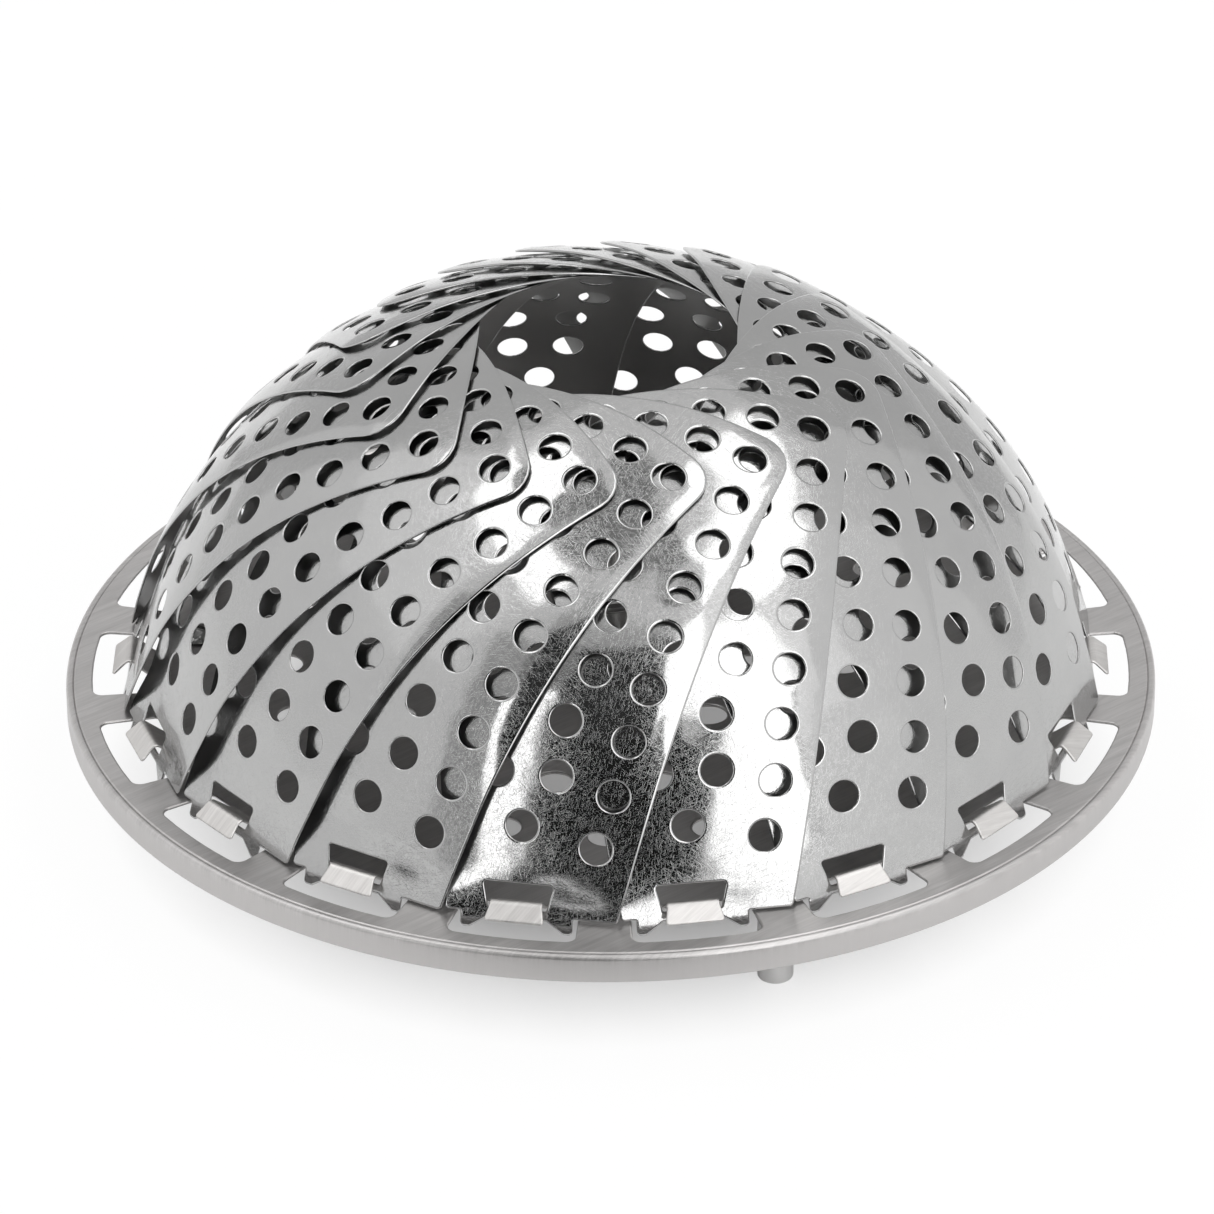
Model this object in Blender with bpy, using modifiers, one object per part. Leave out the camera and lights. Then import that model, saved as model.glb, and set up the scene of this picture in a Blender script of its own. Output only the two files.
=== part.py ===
"""Folding steamer basket, closed into its dome. Metres, +Z up, standing on its legs at z = 0.

A pressed base plate stands on three screwed legs and carries eighteen thin perforated petals in a
ring. Each petal has a window in its foot. A tongue of the plate passes through the window and bends
over the bar below it, so the bar turns under the tongue and the petal folds outward. A post with a
finger ring, held by a nut under the plate, lifts the basket.
"""

import functools
import math

import bmesh
import bpy
from mathutils import Matrix, Vector
from mathutils.geometry import delaunay_2d_cdt

# Whole basket
PETALS = 18
RIM_RADIUS = 0.0900
LEG_LENGTH = 0.0191
GAP = 0.0003
OVERRUN = 0.0050
MERGE = 0.00001

# Base plate: floor, bead and skirt
PLATE_SHEET = 0.0006
SKIRT_DEPTH = 0.0047
BEAD_WIDTH = 0.0015
BEAD_DROP = 0.0008
GROOVE_DEPTH = 0.0003
TURN_STEPS = 48
FLOOR_HOLE_DIAMETER = 0.0060
FLOOR_HOLE_SIDES = 6
FLOOR_RING_SHARES = (0.25, 0.50, 0.75)
FLOOR_RING_COUNTS = (8, 14, 20)

# Hinge: the petal's bar turns on a circle inside the rim, under the plate's tongue
HINGE_INSET = 0.0106
HINGE_RISE = 0.0005
BAR_HALF_HEIGHT = 0.0008
BAR_CLEARANCE = 0.0008
TONGUE_SHEET = 0.0005
TONGUE_HALF_WIDTH = 0.0042
TONGUE_END_HALF_WIDTH = 0.0048
TONGUE_ROOT = 0.0010
TONGUE_RISE = math.radians(40)
TONGUE_FALL = math.radians(42)
TONGUE_CREASE_RADIUS = 0.0009
TONGUE_TIP_RISE = 0.0005
WINDOW_TOP = 0.0049
WINDOW_SIDE_GAP = 0.00045
WINDOW_FLARE = 0.0010
TAB_HALF_WIDTH = 0.0090
TAB_DEPTH = 0.0027
TAB_ROUND = 0.0006
TAB_RAMP = 0.0028
SLOT_SIDE_GAP = 0.00035
SLOT_INNER_GAP = 0.0014
SLOT_RIM_WIDTH = 0.0029
SLOT_CORNER = 0.0015

# Petal: sheet, and the line along its middle from the hinge to the dome's mouth
PETAL_SHEET = 0.0004
MOUTH_RADIUS = 0.0209
PETAL_LEAN = math.radians(18.9)
STRAIGHT_FOOT = 0.0156
BEND_LENGTH = 0.0754
LOWER_BEND_RADIUS = 0.0627
UPPER_BEND_RADIUS = 0.0952

# Petal across its middle line: curved like the dome, tilted over its neighbour, flat at the foot,
# with its right edge rolled down towards that neighbour
CROSS_RADIUS_FOOT = 0.1300
CROSS_RADIUS_MIDDLE = 0.0770
CROSS_RADIUS_TOP = 0.0920
TILT_FOOT_SHARE = 0.08
TILT_TOP_SHARE = 0.10
FLAT_FOOT = 0.0090
EDGE_ROLL_WIDTH = 0.0055
EDGE_ROLL_DROP = 0.00056
EDGE_ROLL_START = 0.0120
EDGE_ROLL_FULL = 0.0340

# Petal outline: the right edge, seen from outside, rides over the next petal
RIGHT_FOOT = 0.0161
LEFT_FOOT = 0.0115
RIGHT_SPREAD_SHARE = 0.224
LEFT_SPREAD_SHARE = 0.110
FOOT_EDGE = -0.0002
CORNER_RADIUS = 0.0054
TOP_EDGE_RADIUS = 0.1200
SIDE_STEPS = 9
TOP_STEPS = 6
CORNER_STEPS = 3

# Perforations: rows on arcs about a point below the hinge, with their places across as shares
HOLE_DIAMETER = 0.0051
HOLE_SIDES = 4
HOLE_PITCH = 0.0090
HOLE_ROW_START = 0.0142
HOLE_ROW_STEP = 0.00877
HOLE_ROW_CENTRE = 0.0150
HOLE_PLACE_SHARES = (
    (1.34, 0.01),
    (1.59, 0.57, -0.49),
    (1.78, 0.65, -0.49),
    (2.02, 1.08, 0.11, -0.83),
    (2.21, 1.22, 0.23, -0.76),
    (2.42, 1.34, 0.29, -0.78),
    (2.77, 1.80, 0.83, -0.13, -1.10),
    (2.96, 1.97, 0.98, -0.01, -1.00),
    (3.14, 2.27, 1.32, 0.40, -0.51, -1.42),
)

# Legs and their screws
LEGS = 3
FIRST_LEG_ANGLE = math.radians(52.8)
LEG_INSET = 0.0058
LEG_DIAMETER = 0.0058
LEG_EDGE = 0.0005
LEG_STEPS = 12
LEG_BORE_DEPTH = 0.0080
SCREW_DIAMETER = 0.0026
SCREW_LENGTH = 0.0070
SCREW_HEAD_DIAMETER = 0.0062
SCREW_HEAD_HEIGHT = 0.0016
SCREW_SLOT_WIDTH = 0.0008
SCREW_SLOT_DEPTH = 0.0006

# Lifting post, finger ring and nut
POST_DIAMETER = 0.0070
POST_FLANGE_DIAMETER = 0.0150
POST_FLANGE_HEIGHT = 0.0015
EYE_HEIGHT = 0.0300
EYE_THICKNESS = 0.0030
EYE_WALL = 0.0018
EYE_CLEARANCE = 0.00055
SHOULDER_CLEARANCE = 0.0010
RING_RADIUS = 0.0085
RING_WIRE_RADIUS = 0.0012
RING_STEPS = 20
RING_WIRE_SIDES = 8
STUD_DIAMETER = 0.0040
STUD_BELOW_NUT = 0.0008
NUT_ACROSS_CORNERS = 0.0081
NUT_HEIGHT = 0.0030

# Heights and radii that follow from these sizes
PLATE_UNDERSIDE = LEG_LENGTH + GAP
PLATE_TOP = PLATE_UNDERSIDE + PLATE_SHEET
PITCH = 2 * math.pi / PETALS
WINDOW_HALF_WIDTH = TONGUE_HALF_WIDTH + WINDOW_SIDE_GAP
TONGUE_BEND_RADIUS = BAR_HALF_HEIGHT + BAR_CLEARANCE + TONGUE_SHEET / 2
HINGE_RADIUS = RIM_RADIUS - HINGE_INSET
SLOT_INNER_RADIUS = HINGE_RADIUS - TAB_DEPTH - SLOT_INNER_GAP
SLOT_OUTER_RADIUS = RIM_RADIUS - BEAD_WIDTH - SLOT_RIM_WIDTH
LEG_CIRCLE_RADIUS = SLOT_INNER_RADIUS - LEG_INSET
EYE_RADIUS = RING_WIRE_RADIUS + EYE_CLEARANCE
EYE_CENTRE = PLATE_TOP + EYE_HEIGHT


def clear_scene():
    for thing in list(bpy.data.objects):
        bpy.data.objects.remove(thing)


def new_collection(name):
    collection = bpy.data.collections.new(name)
    bpy.context.scene.collection.children.link(collection)
    return collection


def make_material(name, colour, roughness):
    material = bpy.data.materials.new(name)
    material.use_nodes = True
    shader = material.node_tree.nodes["Principled BSDF"]
    shader.inputs["Base Color"].default_value = (*colour, 1)
    shader.inputs["Metallic"].default_value = 1
    shader.inputs["Roughness"].default_value = roughness
    return material


def add_object(name, mesh, collection, material=None):
    thing = bpy.data.objects.new(name, mesh)
    collection.objects.link(thing)
    if material and not mesh.materials:
        mesh.materials.append(material)
    return thing


def mesh_from(name, bm):
    mesh = bpy.data.meshes.new(name)
    bm.to_mesh(mesh)
    bm.free()
    return mesh


def smooth(mesh):
    mesh.shade_smooth()
    mesh.set_sharp_from_angle(angle=math.radians(35))


def turned(name, profile, steps, collection, material):
    """Turns a profile of (radius, height) points about the Z axis. It runs down the outer side."""
    mesh = bpy.data.meshes.new(name)
    points = [(radius, 0, height) for radius, height in profile]
    mesh.from_pydata(points, [(i, i + 1) for i in range(len(points) - 1)], [])
    thing = add_object(name, mesh, collection, material)
    screw = thing.modifiers.new("Turn", "SCREW")
    screw.axis = "Z"
    screw.steps = steps
    screw.render_steps = steps
    screw.use_merge_vertices = True
    screw.merge_threshold = MERGE
    return thing


def boolean(thing, cutter, operation):
    modifier = thing.modifiers.new(operation.title(), "BOOLEAN")
    modifier.operation = operation
    modifier.object = cutter


def add_helper(name, bm, collection):
    """A mesh that cuts or joins another piece and isn't a piece itself."""
    thing = add_object(name, mesh_from(name, bm), collection)
    thing.hide_render = True
    thing.display_type = "WIRE"
    return thing


def add_cylinder(bm, diameter, length, sides, place):
    """Adds an upright cylinder, turned and moved by a matrix."""
    bmesh.ops.create_cone(
        bm,
        cap_ends=True,
        segments=sides,
        radius1=diameter / 2,
        radius2=diameter / 2,
        depth=length,
        matrix=place,
    )


def add_box(bm, size, centre):
    scale = Matrix.Diagonal((*size, 1))
    bmesh.ops.create_cube(bm, size=1, matrix=Matrix.Translation(centre) @ scale)


def add_prism(bm, outline, bottom, top):
    """Adds the solid between two heights over a closed outline."""
    face = bm.faces.new([bm.verts.new((x, y, bottom)) for x, y in outline])
    raised = bmesh.ops.extrude_face_region(bm, geom=[face])
    moved = [item for item in raised["geom"] if isinstance(item, bmesh.types.BMVert)]
    bmesh.ops.translate(bm, verts=moved, vec=(0, 0, top - bottom))


def arc(centre, radius, start, end, steps):
    """Points of an arc, both ends included."""
    angles = [start + (end - start) * i / steps for i in range(steps + 1)]
    return [(centre[0] + radius * math.cos(a), centre[1] + radius * math.sin(a)) for a in angles]


def rounded(corners, steps):
    """A closed outline from (point, radius) corners, with an arc of its radius at each of them."""
    outline = []
    for i, (point, radius) in enumerate(corners):
        if not radius:
            outline.append(point)
            continue
        corner = Vector(point)
        before = (Vector(corners[i - 1][0]) - corner).normalized()
        after = (Vector(corners[(i + 1) % len(corners)][0]) - corner).normalized()
        half = before.angle(after) / 2
        centre = corner + (before + after).normalized() * radius / math.sin(half)
        first = corner + before * radius / math.tan(half) - centre
        last = corner + after * radius / math.tan(half) - centre
        start = math.atan2(first.y, first.x)
        sweep = math.remainder(math.atan2(last.y, last.x) - start, 2 * math.pi)
        outline += arc(centre, radius, start, start + sweep, steps)
    return outline


def spun(point, angle):
    """A point of the plan turned about the basket's axis."""
    cosine, sine = math.cos(angle), math.sin(angle)
    return point[0] * cosine - point[1] * sine, point[0] * sine + point[1] * cosine


def around(radius, angle, height=0.0):
    return radius * math.cos(angle), radius * math.sin(angle), height


def lean_at(along):
    """How far the petal's middle line leans inward, at a distance along it from the hinge."""
    bent = max(along - STRAIGHT_FOOT, 0)
    change = 1 / UPPER_BEND_RADIUS - 1 / LOWER_BEND_RADIUS
    ease = change / (2 * BEND_LENGTH)
    return PETAL_LEAN + bent / LOWER_BEND_RADIUS + ease * bent * bent


def middle_line(along, pieces=32):
    """The inward and upward reach of the petal's middle line, summed over short pieces."""
    step = along / pieces
    leans = [lean_at(step * (i + 0.5)) for i in range(pieces)]
    return -step * sum(map(math.sin, leans)), step * sum(map(math.cos, leans))


@functools.cache
def petal_length():
    """The length of the middle line from the hinge to the dome's mouth, by halving."""
    low, high = 0, 2 * HINGE_RADIUS
    for _ in range(40):
        middle = (low + high) / 2
        if HINGE_RADIUS + middle_line(middle)[0] > MOUTH_RADIUS:
            low = middle
        else:
            high = middle
    return low


def smooth_step(value):
    share = min(max(value, 0), 1)
    return share * share * (3 - 2 * share)


def edge_drop(across, along):
    """How far the right edge, and the top edge near it, are rolled down towards the next petal."""
    side = min(max((across - right_edge(along)) / EDGE_ROLL_WIDTH + 1, 0), 1)
    top = min(max((along - top_edge(across)) / EDGE_ROLL_WIDTH + 1, 0), 1)
    start = (along - EDGE_ROLL_START) / (EDGE_ROLL_FULL - EDGE_ROLL_START)
    corner = across / RIGHT_FOOT - 1
    return EDGE_ROLL_DROP * (side * side * smooth_step(start) + top * top * smooth_step(corner))


def standoff(across, along):
    """How far the sheet stands out from its middle line, growing from nothing at the foot."""
    share = min(max(along / petal_length(), 0), 1)
    curve = (1 - share) * (1 - 2 * share) / CROSS_RADIUS_FOOT
    curve += 4 * share * (1 - share) / CROSS_RADIUS_MIDDLE
    curve += share * (2 * share - 1) / CROSS_RADIUS_TOP
    tilt = TILT_FOOT_SHARE + (TILT_TOP_SHARE - TILT_FOOT_SHARE) * share
    out = tilt * across - curve * across * across / 2
    return smooth_step(along / FLAT_FOOT) * out - edge_drop(across, along)


def petal_point(across, along):
    """A point of the flat blank, at its place on the pressed petal. The hinge is the origin."""
    inward, up = middle_line(along)
    lean = lean_at(along)
    out = standoff(across, along)
    return inward + out * math.cos(lean), across, up + out * math.sin(lean)


def right_edge(along):
    return RIGHT_FOOT + RIGHT_SPREAD_SHARE * along


def left_edge(along):
    return -LEFT_FOOT - LEFT_SPREAD_SHARE * along


def top_edge(across):
    return petal_length() - across * across / (2 * TOP_EDGE_RADIUS)


def corner_of(edge):
    """Where a side edge meets the top edge."""
    along = petal_length()
    for _ in range(12):
        along = top_edge(edge(along))
    return edge(along), along


def side_run(edge, start, end):
    """Points of a side edge between its foot and its top corner, the corner left out."""
    places = [start + (end - start) * i / SIDE_STEPS for i in range(SIDE_STEPS)]
    return [(edge(along), along) for along in places]


def tab_run():
    """The tab below the petal's foot, left to right: foot, bar, foot."""
    half = [
        (TAB_HALF_WIDTH, FOOT_EDGE),
        (TAB_HALF_WIDTH, TAB_ROUND - TAB_DEPTH),
        (TAB_HALF_WIDTH - TAB_ROUND, -TAB_DEPTH),
        (WINDOW_HALF_WIDTH + TAB_RAMP, -TAB_DEPTH),
        (WINDOW_HALF_WIDTH, -BAR_HALF_HEIGHT),
    ]
    return [(-across, along) for across, along in half] + half[::-1]


def petal_outline():
    """The blank's outline as (across, along) points: foot, right side, top and left side."""
    right, left = corner_of(right_edge), corner_of(left_edge)
    places = [right[0] + (left[0] - right[0]) * i / TOP_STEPS for i in range(1, TOP_STEPS)]
    corners = [(point, 0) for point in tab_run()]
    corners += [(point, 0) for point in side_run(right_edge, FOOT_EDGE, right[1])]
    corners += [(right, CORNER_RADIUS)]
    corners += [((across, top_edge(across)), 0) for across in places]
    corners += [(left, CORNER_RADIUS)]
    corners += [(point, 0) for point in side_run(left_edge, FOOT_EDGE, left[1])[::-1]]
    return rounded(corners, CORNER_STEPS)


def window_outline():
    top = WINDOW_HALF_WIDTH + WINDOW_FLARE
    bottom = WINDOW_HALF_WIDTH
    return [(-bottom, BAR_HALF_HEIGHT), (bottom, BAR_HALF_HEIGHT), (top, WINDOW_TOP), (-top, WINDOW_TOP)]


def hole_centres():
    centres = []
    for row, shares in enumerate(HOLE_PLACE_SHARES):
        radius = HOLE_ROW_CENTRE + HOLE_ROW_START + HOLE_ROW_STEP * row
        for share in shares:
            across = share * HOLE_PITCH
            centres.append((across, math.sqrt(radius * radius - across * across) - HOLE_ROW_CENTRE))
    return centres


def hole_outline(centre):
    """A polygon with the area of the round hole."""
    corner = 2 * math.pi / HOLE_SIDES
    radius = HOLE_DIAMETER / 2 * math.sqrt(corner / math.sin(corner))
    return arc(centre, radius, 0, 2 * math.pi - corner, HOLE_SIDES - 1)


def petal_mesh():
    """The pressed petal as an open sheet: the blank is triangulated flat, then bent."""
    loops = [petal_outline(), window_outline()]
    loops += [hole_outline(centre) for centre in hole_centres()]
    points = [Vector(point) for loop in loops for point in loop]
    starts = [sum(map(len, loops[:i])) for i in range(len(loops))]
    rings = [list(range(start, start + len(loop))) for start, loop in zip(starts, loops)]
    flat, _, faces, _, _, sources = delaunay_2d_cdt(points, [], rings, 1, MERGE)
    sheet = [face for face, source in zip(faces, sources) if source == [0]]
    mesh = bpy.data.meshes.new("petal")
    mesh.from_pydata([petal_point(*point) for point in flat], [], sheet)
    smooth(mesh)
    return mesh


def add_petals(collection, material):
    mesh = petal_mesh()
    for number in range(PETALS):
        petal = add_object(f"petal_{number + 1:02d}", mesh, collection, material)
        petal.location = around(HINGE_RADIUS, PITCH * number, PLATE_TOP + HINGE_RISE)
        petal.rotation_euler.z = PITCH * number
        sheet = petal.modifiers.new("Sheet", "SOLIDIFY")
        sheet.thickness = PETAL_SHEET
        sheet.offset = 0
        sheet.use_even_offset = True


def plate_profile():
    """The plate's section: floor, groove, bead and skirt outside, then back along the inside."""
    floor = RIM_RADIUS - BEAD_WIDTH
    inner = RIM_RADIUS - PLATE_SHEET
    bottom = PLATE_TOP - SKIRT_DEPTH
    return [
        (0, PLATE_TOP),
        (floor, PLATE_TOP),
        (floor + BEAD_WIDTH / 5, PLATE_TOP - GROOVE_DEPTH),
        (floor + BEAD_WIDTH / 2, PLATE_TOP),
        (RIM_RADIUS - BEAD_WIDTH / 6, PLATE_TOP - BEAD_DROP / 4),
        (RIM_RADIUS, PLATE_TOP - BEAD_DROP),
        (RIM_RADIUS, bottom),
        (inner, bottom),
        (inner, PLATE_UNDERSIDE - BEAD_DROP),
        (floor, PLATE_UNDERSIDE - GROOVE_DEPTH),
        (floor - BEAD_WIDTH, PLATE_UNDERSIDE),
        (0, PLATE_UNDERSIDE),
    ]


def slot_outline():
    """One slot: a straight inner edge, sides that point at the axis, and a round outer edge."""
    half = math.atan((TAB_HALF_WIDTH + SLOT_SIDE_GAP) / (HINGE_RADIUS - TAB_DEPTH))
    inner = SLOT_INNER_RADIUS, SLOT_INNER_RADIUS * math.tan(half)
    outer = SLOT_OUTER_RADIUS * math.cos(half), SLOT_OUTER_RADIUS * math.sin(half)
    corners = [
        ((inner[0], -inner[1]), 0),
        ((outer[0], -outer[1]), SLOT_CORNER),
        ((SLOT_OUTER_RADIUS, 0), 0),
        (outer, SLOT_CORNER),
        (inner, 0),
    ]
    return rounded(corners, 2)


def plate_cutter(collection):
    """Every slot and hole of the plate, in one mesh."""
    bm = bmesh.new()
    bottom = PLATE_UNDERSIDE - OVERRUN
    top = PLATE_TOP + OVERRUN
    for number in range(PETALS):
        add_prism(bm, [spun(point, PITCH * number) for point in slot_outline()], bottom, top)
    middle = (bottom + top) / 2
    flange = POST_FLANGE_DIAMETER / 2
    for share, count in zip(FLOOR_RING_SHARES, FLOOR_RING_COUNTS):
        radius = flange + share * (LEG_CIRCLE_RADIUS - flange)
        for number in range(count):
            angle = 2 * math.pi * number / count
            place = Matrix.Translation(around(radius, angle, middle)) @ Matrix.Rotation(angle, 4, "Z")
            add_cylinder(bm, FLOOR_HOLE_DIAMETER, top - bottom, FLOOR_HOLE_SIDES, place)
    for angle in leg_angles():
        place = Matrix.Translation(around(LEG_CIRCLE_RADIUS, angle, middle))
        add_cylinder(bm, SCREW_DIAMETER + 2 * GAP, top - bottom, LEG_STEPS, place)
    stud = Matrix.Translation((0, 0, middle))
    add_cylinder(bm, STUD_DIAMETER + 2 * GAP, top - bottom, LEG_STEPS, stud)
    bmesh.ops.recalc_face_normals(bm, faces=bm.faces)
    return add_helper("plate_cutter", bm, collection)


def tongue_line():
    """Middle line of a tongue as (radius, height, half width): up, over the bar, and down.

    The rise and the fall both pass a bend radius from the bar, and meet in a crease.
    """
    centre = HINGE_RADIUS, PLATE_TOP + HINGE_RISE
    start = math.pi / 2 + TONGUE_RISE
    end = math.pi / 2 - TONGUE_FALL
    reach = (TONGUE_BEND_RADIUS - TONGUE_CREASE_RADIUS) / math.cos((start - end) / 2)
    crease = arc(centre, reach, (start + end) / 2, start, 1)[0]
    bend = arc(crease, TONGUE_CREASE_RADIUS, start, end, 4)
    root = PLATE_TOP - PLATE_SHEET / 2
    foot = bend[0][0] - (bend[0][1] - root) / math.tan(TONGUE_RISE)
    tip_height = PLATE_TOP + TONGUE_TIP_RISE
    tip = bend[-1][0] + (bend[-1][1] - tip_height) / math.tan(TONGUE_FALL)
    line = [(SLOT_INNER_RADIUS - TONGUE_ROOT, root), (foot, root)] + bend
    return [(*point, TONGUE_HALF_WIDTH) for point in line] + [(tip, tip_height, TONGUE_END_HALF_WIDTH)]


def plate_tongues(collection):
    """The plate's tongues as bent strips, one in each slot."""
    points, faces = [], []
    for number in range(PETALS):
        for radius, height, half in tongue_line():
            for side in (-half, half):
                points.append((*spun((radius, side), PITCH * number), height))
        first = len(points) - 2 * len(tongue_line())
        faces += [(i, i + 2, i + 3, i + 1) for i in range(first, len(points) - 2, 2)]
    bm = bmesh.new()
    mesh = bpy.data.meshes.new("strips")
    mesh.from_pydata(points, [], faces)
    bm.from_mesh(mesh)
    bpy.data.meshes.remove(mesh)
    tongues = add_helper("plate_tongues", bm, collection)
    sheet = tongues.modifiers.new("Sheet", "SOLIDIFY")
    sheet.thickness = TONGUE_SHEET
    sheet.offset = 0
    sheet.use_even_offset = True
    return tongues


def add_plate(collection, helpers, material):
    plate = turned("base_plate", plate_profile(), TURN_STEPS, collection, material)
    boolean(plate, plate_cutter(helpers), "DIFFERENCE")
    boolean(plate, plate_tongues(helpers), "UNION")


def leg_angles():
    return [FIRST_LEG_ANGLE + 2 * math.pi * number / LEGS for number in range(LEGS)]


def leg_profile():
    """A rod with a rounded lower edge and a bore for its screw."""
    radius = LEG_DIAMETER / 2
    bore = SCREW_DIAMETER / 2 + GAP
    bore_bottom = LEG_LENGTH - LEG_BORE_DEPTH
    edge = LEG_EDGE * (1 - math.cos(math.pi / 4))
    return [
        (0, bore_bottom),
        (bore, bore_bottom),
        (bore, LEG_LENGTH),
        (radius, LEG_LENGTH),
        (radius, LEG_EDGE),
        (radius - edge, edge),
        (radius - LEG_EDGE, 0),
        (0, 0),
    ]


def screw_profile():
    """A round head on the plate and a shank that reaches into the leg."""
    seat = PLATE_TOP + GAP
    head = SCREW_HEAD_DIAMETER / 2
    return [
        (0, seat + SCREW_HEAD_HEIGHT),
        (head / 2, seat + SCREW_HEAD_HEIGHT * math.sqrt(0.8)),
        (head * math.sqrt(0.8), seat + SCREW_HEAD_HEIGHT / 2),
        (head, seat),
        (SCREW_DIAMETER / 2, seat),
        (SCREW_DIAMETER / 2, seat - SCREW_LENGTH),
        (0, seat - SCREW_LENGTH),
    ]


def screw_cutter(helpers):
    """The driver's slot, across the head of a screw that stands at the origin."""
    bm = bmesh.new()
    top = PLATE_TOP + GAP + SCREW_HEAD_HEIGHT
    size = (SCREW_HEAD_DIAMETER + OVERRUN, SCREW_SLOT_WIDTH, 2 * SCREW_SLOT_DEPTH)
    add_box(bm, size, (0, 0, top))
    return add_helper("screw_cutter", bm, helpers)


def add_legs(collection, helpers, leg_steel, screw_steel):
    for number, angle in enumerate(leg_angles(), start=1):
        place = around(LEG_CIRCLE_RADIUS, angle)
        leg = turned(f"leg_{number}", leg_profile(), LEG_STEPS, collection, leg_steel)
        leg.location = place
        screw = turned(f"leg_screw_{number}", screw_profile(), LEG_STEPS, collection, screw_steel)
        screw.location = place
        screw.rotation_euler.z = angle
        cutter = screw_cutter(helpers)
        cutter.location = place
        cutter.rotation_euler.z = angle
        boolean(screw, cutter, "DIFFERENCE")


def post_profile():
    """From the eye's round top down to the flange on the plate, and the stud through the plate."""
    radius = POST_DIAMETER / 2
    top = EYE_CENTRE + EYE_RADIUS + EYE_WALL
    seat = PLATE_TOP + GAP
    flange = POST_FLANGE_DIAMETER / 2
    stud = STUD_DIAMETER / 2
    stud_bottom = PLATE_UNDERSIDE - GAP - NUT_HEIGHT - STUD_BELOW_NUT
    return [
        (0, top),
        (radius / 2, top - radius * (1 - math.sqrt(0.75))),
        (radius * math.sqrt(0.75), top - radius / 2),
        (radius, top - radius),
        (radius, seat + 2 * POST_FLANGE_HEIGHT),
        (radius + POST_FLANGE_HEIGHT / 2, seat + POST_FLANGE_HEIGHT),
        (flange, seat + POST_FLANGE_HEIGHT / 2),
        (flange, seat),
        (stud, seat),
        (stud, stud_bottom),
        (0, stud_bottom),
    ]


def post_cutter(helpers):
    """The flats on both sides of the eye, and its hole, which runs along X."""
    bm = bmesh.new()
    shoulder = EYE_CENTRE - RING_WIRE_RADIUS - SHOULDER_CLEARANCE
    top = EYE_CENTRE + EYE_RADIUS + EYE_WALL + OVERRUN
    size = (POST_DIAMETER, POST_DIAMETER + OVERRUN, top - shoulder)
    reach = (EYE_THICKNESS + POST_DIAMETER) / 2
    for side in (-reach, reach):
        add_box(bm, size, (side, 0, (shoulder + top) / 2))
    place = Matrix.Translation((0, 0, EYE_CENTRE)) @ Matrix.Rotation(math.pi / 2, 4, "Y")
    eye = bmesh.new()
    add_cylinder(eye, 2 * EYE_RADIUS, EYE_THICKNESS + OVERRUN, LEG_STEPS, place)
    return add_helper("post_flats", bm, helpers), add_helper("post_eye", eye, helpers)


def hang_angle():
    """How far below level the ring hangs, where its far side rests against the post."""
    reach = POST_DIAMETER / 2 + GAP + RING_WIRE_RADIUS
    return math.acos(reach / (2 * RING_RADIUS))


def add_post(collection, helpers, material):
    post = turned("post", post_profile(), LEG_STEPS, collection, material)
    for cutter in post_cutter(helpers):
        boolean(post, cutter, "DIFFERENCE")


def add_ring(collection, material):
    """The finger ring, with its origin where its wire passes through the eye."""
    bpy.ops.mesh.primitive_torus_add(
        major_segments=RING_STEPS, minor_segments=RING_WIRE_SIDES, major_radius=RING_RADIUS, minor_radius=RING_WIRE_RADIUS
    )
    ring = bpy.context.object
    ring.name = "ring"
    ring.data.transform(Matrix.Translation((0, -RING_RADIUS, 0)))
    ring.data.materials.append(material)
    smooth(ring.data)
    for owner in ring.users_collection:
        owner.objects.unlink(ring)
    collection.objects.link(ring)
    ring.location = (0, 0, EYE_CENTRE)
    ring.rotation_euler.x = hang_angle()


def add_nut(collection, helpers, material):
    middle = PLATE_UNDERSIDE - GAP - NUT_HEIGHT / 2
    body = bmesh.new()
    add_cylinder(body, NUT_ACROSS_CORNERS, NUT_HEIGHT, 6, Matrix.Translation((0, 0, middle)))
    nut = add_object("nut", mesh_from("nut", body), collection, material)
    bore = bmesh.new()
    place = Matrix.Translation((0, 0, middle))
    add_cylinder(bore, STUD_DIAMETER + 2 * GAP, NUT_HEIGHT + OVERRUN, LEG_STEPS, place)
    boolean(nut, add_helper("nut_bore", bore, helpers), "DIFFERENCE")


def build():
    clear_scene()
    parts = new_collection("folding steamer basket")
    helpers = new_collection("cutters")
    add_plate(parts, helpers, make_material("brushed plate steel", (0.62, 0.61, 0.58), 0.38))
    add_petals(parts, make_material("polished petal steel", (0.72, 0.72, 0.71), 0.15))
    leg_steel = make_material("leg steel", (0.55, 0.55, 0.54), 0.30)
    screw_steel = make_material("screw steel", (0.60, 0.60, 0.59), 0.25)
    add_legs(parts, helpers, leg_steel, screw_steel)
    add_post(parts, helpers, make_material("post steel", (0.65, 0.65, 0.64), 0.20))
    add_ring(parts, make_material("ring steel", (0.68, 0.68, 0.67), 0.18))
    add_nut(parts, helpers, make_material("nut steel", (0.58, 0.58, 0.57), 0.28))


build()
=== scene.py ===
"""Looks of the folding steamer basket: bright scratched petals on a satin plate, in a pale studio.

Metres, +Z up, standing on the floor at z = 0. Every sheet of the basket is worked out flat, as a
blank with its holes, and then taken to its pressed shape by a formula.
"""

import math

import bmesh
import bpy
import numpy as np
from mathutils import Matrix, Vector
from mathutils.geometry import delaunay_2d_cdt


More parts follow.
